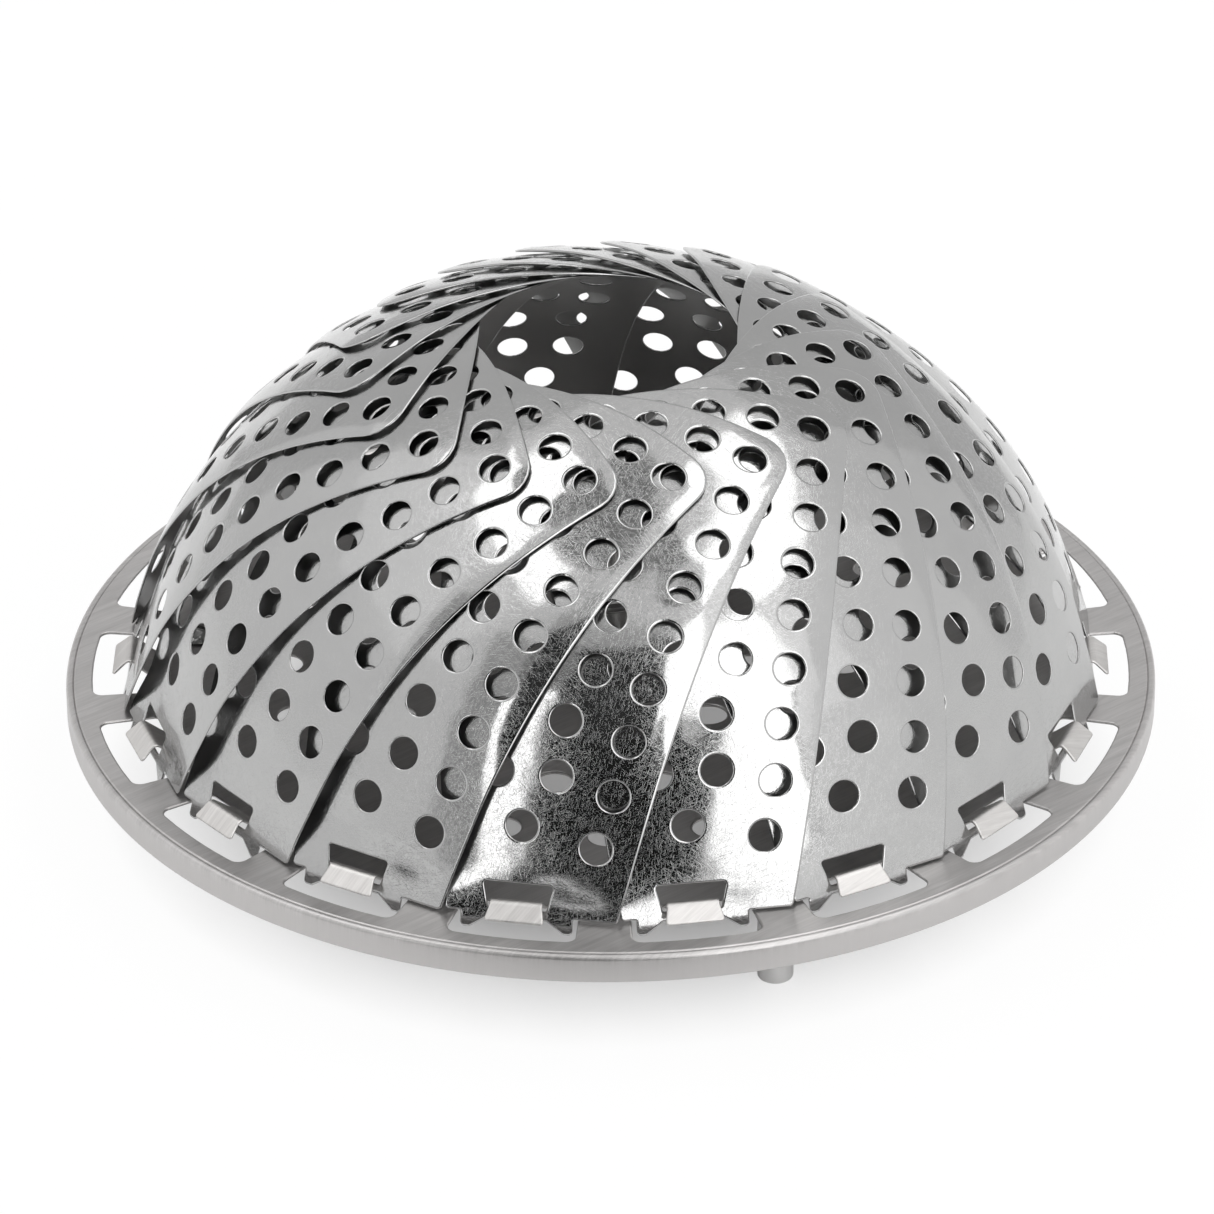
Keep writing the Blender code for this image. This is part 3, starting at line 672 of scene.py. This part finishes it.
def tongue_path(along):
    """Radius and height of a tongue's middle: flat root, rise, crease over the bar, fall.

    The rise and the fall are straight, a bend radius from the bar, and an arc joins them.
    """
    start, end = math.pi / 2 + TONGUE_RISE, math.pi / 2 - TONGUE_FALL
    reach = (TONGUE_BEND_RADIUS - TONGUE_CREASE_RADIUS) / math.cos((start - end) / 2)
    crease = arc((HINGE_RADIUS, HINGE_HEIGHT), reach, (start + end) / 2, start, 1)[0]
    bend = arc(crease, TONGUE_CREASE_RADIUS, start, end, 16)
    root = PLATE_TOP - PLATE_SHEET / 2
    foot = bend[0, 0] - (bend[0, 1] - root) / math.tan(TONGUE_RISE)
    tip_height = PLATE_TOP + TONGUE_TIP_RISE
    tip = bend[-1, 0] + (bend[-1, 1] - tip_height) / math.tan(TONGUE_FALL)
    corner = ((foot, root), TONGUE_ROOT_BEND_RADIUS)
    root_bend = rounded([((foot - TONGUE_ROOT_LENGTH, root), 0), corner, (tuple(bend[0]), 0)], 8)
    start = [(SLOT_INNER_RADIUS - TONGUE_ROOT_OVERLAP, root)]
    line = np.concatenate([start, root_bend[1:-1], bend, [(tip, tip_height)]])
    reach = np.concatenate([[0], np.cumsum(np.linalg.norm(np.diff(line, axis=0), axis=1))])
    if along is None:
        return reach[-1]
    return np.stack([np.interp(along, reach, line[:, 0]), np.interp(along, reach, line[:, 1])], 1)


def tongue_point(across, along):
    line = tongue_path(along)
    return np.stack([line[:, 0], across, line[:, 1]], 1)


def tongue_surface(across, along):
    return tangents(lambda u, v: tongue_point(-u, v), across, along, TONGUE_TANGENT_STEP)


def add_tongues(material):
    """Eighteen tongues in one mesh. Each widens a little towards its end."""
    length = tongue_path(None)
    half, end = TONGUE_HALF_WIDTH, TONGUE_END_HALF_WIDTH
    flare = length - TONGUE_FLARE_LENGTH
    corners = [
        ((-half, 0), TONGUE_ROOT_CORNER),
        ((half, 0), TONGUE_ROOT_CORNER),
        ((half, flare), 0),
        ((end, length), TONGUE_END_CORNER),
        ((-end, length), TONGUE_END_CORNER),
        ((-half, flare), 0),
    ]
    outline = resampled(rounded(corners, 3), TONGUE_GRAIN["step"])
    points, faces, normals, places, _ = pressed_sheet(outline, [], tongue_surface, TONGUE_GRAIN)
    count = len(points)
    angles = 2 * math.pi * np.arange(PETALS) / PETALS
    all_points = np.concatenate([spin(points, angle) for angle in angles])
    all_normals = np.concatenate([spin(normals, angle) for angle in angles])
    all_faces = [[i + count * k for i in face] for k in range(PETALS) for face in faces]
    all_places = np.tile(places, (PETALS, 1))
    tongues = build_mesh("plate_tongues", all_points, all_faces, all_normals, all_places)
    dress(tongues, "base_plate", "base", material)


def leg_places():
    angle = FIRST_LEG_ANGLE + 2 * math.pi * np.arange(LEGS) / LEGS
    return np.stack([LEG_CIRCLE_RADIUS * np.cos(angle), LEG_CIRCLE_RADIUS * np.sin(angle)], 1)


def add_legs(leg_material, screw_material):
    """Legs as turned rods with a bore, and round-headed screws, both as turned profiles."""
    top = PLATE_TOP - PLATE_SHEET - GAP
    floor = top - LEG_BORE_DEPTH
    edge = arc((LEG_RADIUS - LEG_EDGE, LEG_EDGE), LEG_EDGE, 0, -math.pi / 2, 6)
    leg = [
        (0, floor),
        (LEG_BORE_RADIUS, floor),
        (LEG_BORE_RADIUS, top),
        (LEG_RADIUS - LEG_TOP_CHAMFER, top),
        (LEG_RADIUS, top - LEG_TOP_CHAMFER),
        *edge.tolist(),
        (0, 0),
    ]
    seat = PLATE_TOP + GAP
    tip = seat - SCREW_LENGTH
    shank = [(0, seat + GAP), (SCREW_RADIUS, seat + GAP), (SCREW_RADIUS, tip + THREAD_END_CHAMFER)]
    shank += [(SCREW_RADIUS - THREAD_END_CHAMFER, tip), (0, tip)]
    for number, place in enumerate(leg_places(), start=1):
        rod = lathe(f"turned_leg_{number}", leg, steps=48, place=place)
        dress(rod, f"leg_{number}", "base", leg_material)
        head = screw_head(f"screw_head_{number}", seat, place)
        dress(head, f"leg_screw_{number}", "base", screw_material)
        rest = lathe(f"screw_shank_{number}", shank, steps=40, place=place)
        dress(rest, f"leg_screw_{number}", "base", screw_material)


def screw_head(name, seat, place):
    """A cap of a ball over the seat, less its slot: rows across the slot, points along each row."""
    ball = (SCREW_HEAD_RADIUS**2 + SCREW_HEAD_HEIGHT**2) / (2 * SCREW_HEAD_HEIGHT)
    wall = SCREW_SLOT_HALF_WIDTH + SCREW_SLOT_WALL
    share = np.sin(np.linspace(-math.pi / 2, math.pi / 2, SCREW_GRID_STEPS))
    rows = SCREW_HEAD_RADIUS * share
    slot = [-wall, -SCREW_SLOT_HALF_WIDTH, SCREW_SLOT_HALF_WIDTH, wall]
    rows = np.sort(np.concatenate([rows[np.abs(rows) > SCREW_ROW_CLEARANCE * wall], slot]))
    row, share = np.meshgrid(rows, share, indexing="ij")
    along = share * np.sqrt(np.maximum(SCREW_HEAD_RADIUS**2 - row**2, 0))
    cap = np.sqrt(ball**2 - row**2 - along**2) - (ball - SCREW_HEAD_HEIGHT)
    cut = np.where(np.abs(row) <= SCREW_SLOT_HALF_WIDTH, SCREW_SLOT_DEPTH, 0)
    floor = SCREW_HEAD_HEIGHT - SCREW_SLOT_DEPTH
    height = np.where(cut > 0, np.minimum(cap, floor), cap)
    upper = np.stack([along, row, seat + height], -1).reshape(-1, 3)
    lower = np.stack([along, row, seat + np.zeros_like(row)], -1).reshape(-1, 3)
    grid = np.arange(row.size).reshape(row.shape)
    quads = np.stack([grid[:-1, :-1], grid[:-1, 1:], grid[1:, 1:], grid[1:, :-1]], -1)
    quads = quads.reshape(-1, 4)
    faces = quads.tolist() + (quads[:, ::-1] + row.size).tolist()
    turn = math.atan2(place[1], place[0])
    points = spin(np.concatenate([upper, lower]), turn) + [*place, 0]
    return weld(build_mesh(name, points, faces))


def eye_surface(across, along):
    """The eye's upright plane through the basket's axis, across it and up."""
    one, zero = np.ones_like(across), np.zeros_like(across)
    centre = np.stack([zero, across, along], 1)
    return centre, np.stack([zero, one, zero], 1), np.stack([zero, zero, one], 1)


def add_post(material):
    """The post's turned stem with flange and stud, and the flat eye on it with a round top."""
    centre = PLATE_TOP + EYE_HEIGHT
    seat = PLATE_TOP + GAP
    shoulder = centre - EYE_SHOULDER
    edge = arc((POST_RADIUS - POST_EDGE, shoulder - POST_EDGE), POST_EDGE, math.pi / 2, 0, 5)
    corner = (POST_RADIUS + FLANGE_HEIGHT, seat + 2 * FLANGE_HEIGHT)
    fillet = arc(corner, FLANGE_HEIGHT, math.pi, 1.5 * math.pi, 6)
    corner = (FLANGE_RADIUS - FLANGE_EDGE, seat + FLANGE_HEIGHT - FLANGE_EDGE)
    lip = arc(corner, FLANGE_EDGE, math.pi / 2, 0, 5)
    bottom = PLATE_TOP - PLATE_SHEET - GAP - NUT_HEIGHT - STUD_BELOW_NUT
    stem = [
        (0, shoulder),
        *edge.tolist(),
        *fillet.tolist(),
        *lip.tolist(),
        (FLANGE_RADIUS, seat),
        (STUD_RADIUS, seat),
        (STUD_RADIUS, bottom + THREAD_END_CHAMFER),
        (STUD_RADIUS - THREAD_END_CHAMFER, bottom),
        (0, bottom),
    ]
    dress(lathe("turned_post", stem, steps=64), "post", "base", material)
    top = centre + EYE_HOLE_RADIUS + EYE_WALL
    dome = arc((0, top - POST_RADIUS), POST_RADIUS - POST_EDGE / 4, 0, math.pi, 24)
    foot = shoulder - POST_EDGE
    side = POST_RADIUS - POST_EDGE / 4
    outline = np.concatenate([[(-side, foot), (side, foot)], dome])
    outline = resampled(outline, EYE_GRAIN["step"])
    hole = circle((0, centre), EYE_HOLE_RADIUS, steps=40)
    blank = pressed_sheet(outline, [hole], eye_surface, EYE_GRAIN)
    dress(build_mesh("post_eye", *blank[:4]), "post", "base", material)


def add_ring(material):
    """The finger ring: a wire's circle carried round a larger circle, hung from the eye."""
    steps, sides = 96, 24
    round_ring = np.arange(steps) * 2 * math.pi / steps
    round_wire = np.arange(sides) * 2 * math.pi / sides
    u, v = np.meshgrid(round_ring, round_wire, indexing="ij")
    reach = RING_RADIUS + RING_WIRE_RADIUS * np.cos(v)
    rise = RING_WIRE_RADIUS * np.sin(v)
    points = np.stack([reach * np.cos(u), reach * np.sin(u) - RING_RADIUS, rise], -1)
    hang = math.acos((POST_RADIUS + GAP + RING_WIRE_RADIUS) / (2 * RING_RADIUS))
    cosine, sine = math.cos(hang), math.sin(hang)
    points = points.reshape(-1, 3) @ np.array([[1, 0, 0], [0, cosine, sine], [0, -sine, cosine]])
    grid = np.arange(u.size).reshape(u.shape)
    onward, around = np.roll(grid, -1, axis=0), np.roll(grid, -1, axis=1)
    quads = np.stack([grid, onward, np.roll(onward, -1, axis=1), around], -1).reshape(-1, 4)
    ring = build_mesh("finger_ring", points + [0, 0, PLATE_TOP + EYE_HEIGHT], quads.tolist())
    dress(ring, "ring", "ring", material)


def add_nut(material):
    """A hexagon with its corners taken off by a cone above and below."""
    top = PLATE_TOP - PLATE_SHEET - GAP
    bottom = top - NUT_HEIGHT
    flat = NUT_CORNER_RADIUS * math.cos(math.pi / 6)
    bore = STUD_RADIUS + GAP
    steps = 72
    angle = np.arange(steps) * 2 * math.pi / steps
    limit = flat / np.cos(np.mod(angle, math.pi / 3) - math.pi / 6)
    profile = [(bore, top), (flat, top), (NUT_CORNER_RADIUS, top - NUT_CHAMFER)]
    profile += [(NUT_CORNER_RADIUS, bottom + NUT_CHAMFER), (flat, bottom), (bore, bottom)]
    dress(lathe("hexagon_nut", profile, steps, limit=limit), "nut", "base", material)


# Materials


class Nodes:
    """Short names for the nodes that the steel materials are made of."""

    def __init__(self, name, base, roughness):
        self.material = bpy.data.materials.new(name)
        self.material.use_nodes = True
        self.tree = self.material.node_tree
        self.shader = self.tree.nodes["Principled BSDF"]
        self.shader.inputs["Base Color"].default_value = (*base, 1)
        self.shader.inputs["Metallic"].default_value = 1
        self.shader.inputs["Roughness"].default_value = roughness

    def node(self, kind, values=(), **settings):
        made = self.tree.nodes.new(kind)
        for name, value in settings.items():
            setattr(made, name, value)
        for socket, value in dict(values).items():
            if isinstance(value, bpy.types.NodeSocket):
                self.tree.links.new(value, made.inputs[socket])
            else:
                made.inputs[socket].default_value = value
        return made

    def coordinates(self, kind, turn=0.0, size=(1, 1, 1)):
        """Places turned about Z, then divided by a size each way."""
        place = self.node("ShaderNodeTexCoord").outputs[kind]
        values = {"Vector": place, "Rotation": (0, 0, turn), "Scale": size}
        return self.node("ShaderNodeMapping", values, vector_type="TEXTURE").outputs["Vector"]

    def noise(self, vector, scale, detail=2.0, roughness=0.5, distortion=0.0):
        values = {"Vector": vector, "Scale": scale, "Detail": detail}
        values |= {"Roughness": roughness, "Distortion": distortion}
        return self.node("ShaderNodeTexNoise", values).outputs["Fac"]

    def spread(self, value, low, high, bottom=0.0, top=1.0):
        values = {"Value": value, "From Min": low, "From Max": high}
        values |= {"To Min": bottom, "To Max": top}
        return self.node("ShaderNodeMapRange", values).outputs["Result"]

    def attribute(self, name):
        return self.node("ShaderNodeAttribute", attribute_name=name).outputs["Fac"]

    def sum(self, first, second, operation="ADD"):
        made = self.node("ShaderNodeMath", {0: first, 1: second}, operation=operation)
        return made.outputs["Value"]

    def bump(self, height, distance, strength=1.0, normal=None):
        values = {"Height": height, "Distance": distance, "Strength": strength}
        if normal:
            values["Normal"] = normal
        return self.node("ShaderNodeBump", values).outputs["Normal"]

    def set(self, socket, value):
        self.tree.links.new(value, self.shader.inputs[socket])

    def tint(self, value, dark, light):
        """A colour between two, by a value from 0 to 1."""
        made = self.node("ShaderNodeMix", {0: value}, data_type="RGBA")
        made.inputs[6].default_value = (*dark, 1)
        made.inputs[7].default_value = (*light, 1)
        return made.outputs[2]


def scratches(steel, marks, low):
    """Fine marks, by turn and length: long thin cells of bent noise, where only crests count."""
    lines = None
    for turn, length in marks:
        along = steel.coordinates("UV", turn, (1, MARK_WIDTH_SHARE, 1))
        cells = steel.noise(along, 1 / length, 1.5, 0.5, 0.5)
        crests = steel.spread(cells, low, low + MARK_EDGE)
        lines = steel.sum(lines, crests, "MAXIMUM") if lines else crests
    return lines


def petal_steel():
    """Bright rolled sheet: soft waves, a haze of tiny dents, and fine scratches every way."""
    steel = Nodes("bright scratched steel", (0.43, 0.43, 0.425), 0.1)
    flat = steel.coordinates("UV")
    waves = steel.noise(flat, scale=60.0, detail=1.5)
    haze = steel.noise(flat, scale=2600.0, detail=2.0, roughness=0.6)
    worn = scratches(steel, WEAR_MARKS, WEAR_LOW)
    scored = scratches(steel, SCORE_MARKS, SCORE_LOW)
    normal = steel.bump(waves, distance=1.2 * MM, strength=0.4)
    normal = steel.bump(haze, distance=0.02 * MM, strength=0.2, normal=normal)
    normal = steel.bump(worn, distance=0.006 * MM, strength=0.6, normal=normal)
    normal = steel.bump(scored, distance=0.008 * MM, strength=0.35, normal=normal)
    steel.set("Normal", normal)
    patches = steel.noise(flat, scale=110.0, detail=4.0, roughness=0.6)
    inside = steel.spread(steel.attribute("side"), -0.9, 0.0, bottom=0.26, top=0.0)
    gloss = steel.spread(patches, 0.3, 0.7, bottom=0.05, top=0.11)
    steel.set("Roughness", steel.sum(gloss, inside))
    shade = steel.tint(patches, dark=(0.40, 0.40, 0.40), light=(0.46, 0.46, 0.455))
    steel.set("Base Color", shade)
    return steel.material


def plate_steel(name, dark, light):
    """Satin sheet, brushed one way before it was pressed: long lines in height, gloss and tone.

    On the skirt, where the sheet was drawn down, the lines are nearly worn away.
    """
    steel = Nodes(name, light, 0.4)
    brushed = steel.coordinates("Object", BRUSH_TURN, (1, BRUSH_WIDTH_SHARE, 1))
    lines = steel.noise(brushed, scale=170.0, detail=4.0, roughness=0.65)
    coarse = steel.noise(brushed, scale=40.0, detail=3.0, roughness=0.6)
    height = steel.node("ShaderNodeSeparateXYZ", {0: steel.coordinates("Object")}).outputs["Z"]
    faded, full = PLATE_TOP - BRUSH_FADE_END, PLATE_TOP - BRUSH_FADE_START
    kept = steel.spread(height, faded, full, bottom=BRUSH_LEFT, top=1.0)
    lines = steel.sum(steel.sum(lines, 0.5, "SUBTRACT"), kept, "MULTIPLY")
    coarse = steel.sum(steel.sum(coarse, 0.5, "SUBTRACT"), kept, "MULTIPLY")
    steel.set("Normal", steel.bump(lines, distance=0.03 * MM, strength=0.5))
    steel.set("Roughness", steel.spread(lines, -0.2, 0.2, bottom=0.32, top=0.48))
    fine_tone = steel.spread(lines, -0.2, 0.2, bottom=0.0, top=0.6)
    coarse_tone = steel.spread(coarse, -0.2, 0.2, bottom=0.0, top=0.4)
    steel.set("Base Color", steel.tint(steel.sum(fine_tone, coarse_tone), dark, light))
    return steel.material


def turned_steel(name, base, roughness):
    """Turned or drawn steel: faint rings and a little wear."""
    steel = Nodes(name, base, roughness)
    stretched = steel.coordinates("Object", 0.0, (5, 5, 0.11))
    rings = steel.noise(stretched, scale=260.0, detail=3.0, roughness=0.6)
    wear = steel.noise(steel.coordinates("Object"), scale=420.0, detail=4.0, roughness=0.6)
    steel.set("Normal", steel.bump(rings, distance=0.02 * MM, strength=0.3))
    steel.set("Roughness", steel.spread(wear, 0.3, 0.7, roughness * 0.75, roughness * 1.3))
    return steel.material


def dress(piece, node, body, material):
    """Gives a piece its material and its body, and hides the node that it stands for."""
    piece.data.materials.append(material)
    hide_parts(node)
    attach(piece, body)


# Studio


def dome_patch(name, azimuths, elevations, material):
    """A patch of a sphere round the basket, by azimuth from the camera's side and by elevation."""
    azimuth = np.radians(np.linspace(*azimuths, CARD_STEPS[0]) - 90) + CAMERA_TURN
    elevation = np.radians(np.linspace(*elevations, CARD_STEPS[1]))
    a, e = np.meshgrid(azimuth, elevation)
    points = np.stack([np.cos(a) * np.cos(e), np.sin(a) * np.cos(e), np.sin(e)], -1)
    points *= CARD_DISTANCE
    grid = np.arange(a.size).reshape(a.shape)
    quads = np.stack([grid[:-1, :-1], grid[1:, :-1], grid[1:, 1:], grid[:-1, 1:]], -1)
    patch = build_mesh(name, points.reshape(-1, 3), quads.reshape(-1, 4).tolist())
    patch.data.materials.append(material)
    patch.visible_camera = False
    patch.visible_shadow = False


def glow(name, strength):
    """An even white light of this strength."""
    material = bpy.data.materials.new(name)
    material.use_nodes = True
    tree = material.node_tree
    tree.nodes.clear()
    light = tree.nodes.new("ShaderNodeEmission")
    light.inputs["Color"].default_value = (1, 1, 1, 1)
    light.inputs["Strength"].default_value = strength
    out = tree.nodes.new("ShaderNodeOutputMaterial")
    tree.links.new(light.outputs["Emission"], out.inputs["Surface"])
    return material


def add_studio():
    """White surroundings with tall white and black cards, which the bright petals mirror."""
    world = bpy.data.worlds.new("white studio")
    world.use_nodes = True
    world.node_tree.nodes["Background"].inputs["Color"].default_value = (1, 1, 1, 1)
    world.node_tree.nodes["Background"].inputs["Strength"].default_value = 1
    bpy.context.scene.world = world
    for number, (azimuths, elevations, strength) in enumerate(CARDS, start=1):
        shade = glow(f"card {number}", strength)
        dome_patch(f"studio_card_{number}", azimuths, elevations, shade)


def add_front_card():
    """A dark card that lies in front of the basket, out of the camera's sight."""
    left, right, near, far = FLOOR_CARD
    corners = [(left, near), (right, near), (right, far), (left, far)]
    points = np.array([(across, along, FLOOR_CARD_HEIGHT) for across, along in corners])
    card = build_mesh("card_on_floor", points, [[0, 1, 2, 3]])
    card.data.materials.append(glow("floor card", FLOOR_CARD_STRENGTH))
    card.visible_camera = False
    card.visible_shadow = False
    card.visible_diffuse = False


def add_floor():
    """A pale floor that the camera sees as nearly white, grey in the shade right under the plate.

    A share of plain white, by the distance from the axis, is mixed in for the camera alone.
    """
    half = FLOOR_HALF_WIDTH
    points = np.array([(-half, -half, 0), (half, -half, 0), (half, half, 0), (-half, half, 0)])
    floor = build_mesh("studio_floor", points, [[0, 1, 2, 3]])
    material = bpy.data.materials.new("pale floor")
    material.use_nodes = True
    tree = material.node_tree
    tree.nodes.clear()
    matt = tree.nodes.new("ShaderNodeBsdfDiffuse")
    matt.inputs["Color"].default_value = (*FLOOR_COLOUR, 1)
    plain = tree.nodes.new("ShaderNodeEmission")
    place = tree.nodes.new("ShaderNodeTexCoord")
    distance = tree.nodes.new("ShaderNodeVectorMath")
    distance.operation = "LENGTH"
    clear = tree.nodes.new("ShaderNodeMapRange")
    clear.inputs["From Min"].default_value = SHADE_RADIUS
    clear.inputs["From Max"].default_value = CLEAR_RADIUS
    clear.inputs["To Min"].default_value = SHADE_CLEARNESS
    clear.inputs["To Max"].default_value = OPEN_CLEARNESS
    path = tree.nodes.new("ShaderNodeLightPath")
    share = tree.nodes.new("ShaderNodeMath")
    share.operation = "MULTIPLY"
    mix = tree.nodes.new("ShaderNodeMixShader")
    out = tree.nodes.new("ShaderNodeOutputMaterial")
    tree.links.new(place.outputs["Object"], distance.inputs[0])
    tree.links.new(distance.outputs["Value"], clear.inputs["Value"])
    tree.links.new(clear.outputs["Result"], share.inputs[0])
    tree.links.new(path.outputs["Is Camera Ray"], share.inputs[1])
    tree.links.new(share.outputs["Value"], mix.inputs["Fac"])
    tree.links.new(matt.outputs["BSDF"], mix.inputs[1])
    tree.links.new(plain.outputs["Emission"], mix.inputs[2])
    tree.links.new(mix.outputs["Shader"], out.inputs["Surface"])
    floor.data.materials.append(material)


def add_camera():
    """The photograph's camera: at its place, aimed at its point, and rolled a little."""
    turn = Matrix.Rotation(CAMERA_TURN, 3, "Z")
    place = turn @ Vector(CAMERA_PLACE) + Vector((0, 0, PLATE_TOP))
    aim = turn @ Vector(CAMERA_AIM) + Vector((0, 0, PLATE_TOP))
    ahead = (aim - place).normalized()
    right = ahead.cross(Vector((0, 0, 1))).normalized()
    up = right.cross(ahead)
    roll = Matrix.Rotation(-CAMERA_ROLL, 3, ahead)
    axes = Matrix((roll @ right, roll @ up, -ahead)).transposed()
    data = bpy.data.cameras.new("camera")
    data.lens = LENS
    data.sensor_width = SENSOR
    data.clip_start, data.clip_end = CAMERA_CLIP
    camera = bpy.data.objects.new("camera", data)
    camera.matrix_world = Matrix.Translation(place) @ axes.to_4x4()
    bpy.context.scene.collection.objects.link(camera)
    bpy.context.scene.camera = camera


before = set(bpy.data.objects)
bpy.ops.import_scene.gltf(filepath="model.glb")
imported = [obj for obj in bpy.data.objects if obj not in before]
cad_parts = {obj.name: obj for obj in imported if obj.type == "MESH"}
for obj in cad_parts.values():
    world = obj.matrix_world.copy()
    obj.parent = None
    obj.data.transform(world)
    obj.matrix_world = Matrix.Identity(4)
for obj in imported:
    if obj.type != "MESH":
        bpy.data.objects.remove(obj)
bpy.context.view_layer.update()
bpy.context.scene.view_settings.view_transform = "Standard"

satin = plate_steel("satin brushed steel", (0.41, 0.40, 0.395), (0.59, 0.575, 0.57))
add_plate_floor(satin)
add_plate_rim(satin)
# The tongues are of the plate's sheet but get a lighter copy of its satin steel: a painted
# highlight.
add_tongues(plate_steel("brushed steel with painted highlight", (0.50, 0.485, 0.475), (0.72, 0.705, 0.69)))
add_petals(petal_steel())
# The legs' steel is much lighter than the other turned steel: painted light that lifts them out of
# the shade under the basket.
leg_steel_painted_lighter = turned_steel("leg steel", (0.9, 0.895, 0.89), 0.36)
add_legs(leg_steel_painted_lighter, turned_steel("screw steel", (0.5, 0.5, 0.49), 0.22))
bright = turned_steel("bright turned steel", (0.52, 0.52, 0.51), 0.16)
add_post(bright)
add_ring(bright)
add_nut(bright)

add_studio()
add_front_card()
add_floor()
add_camera()
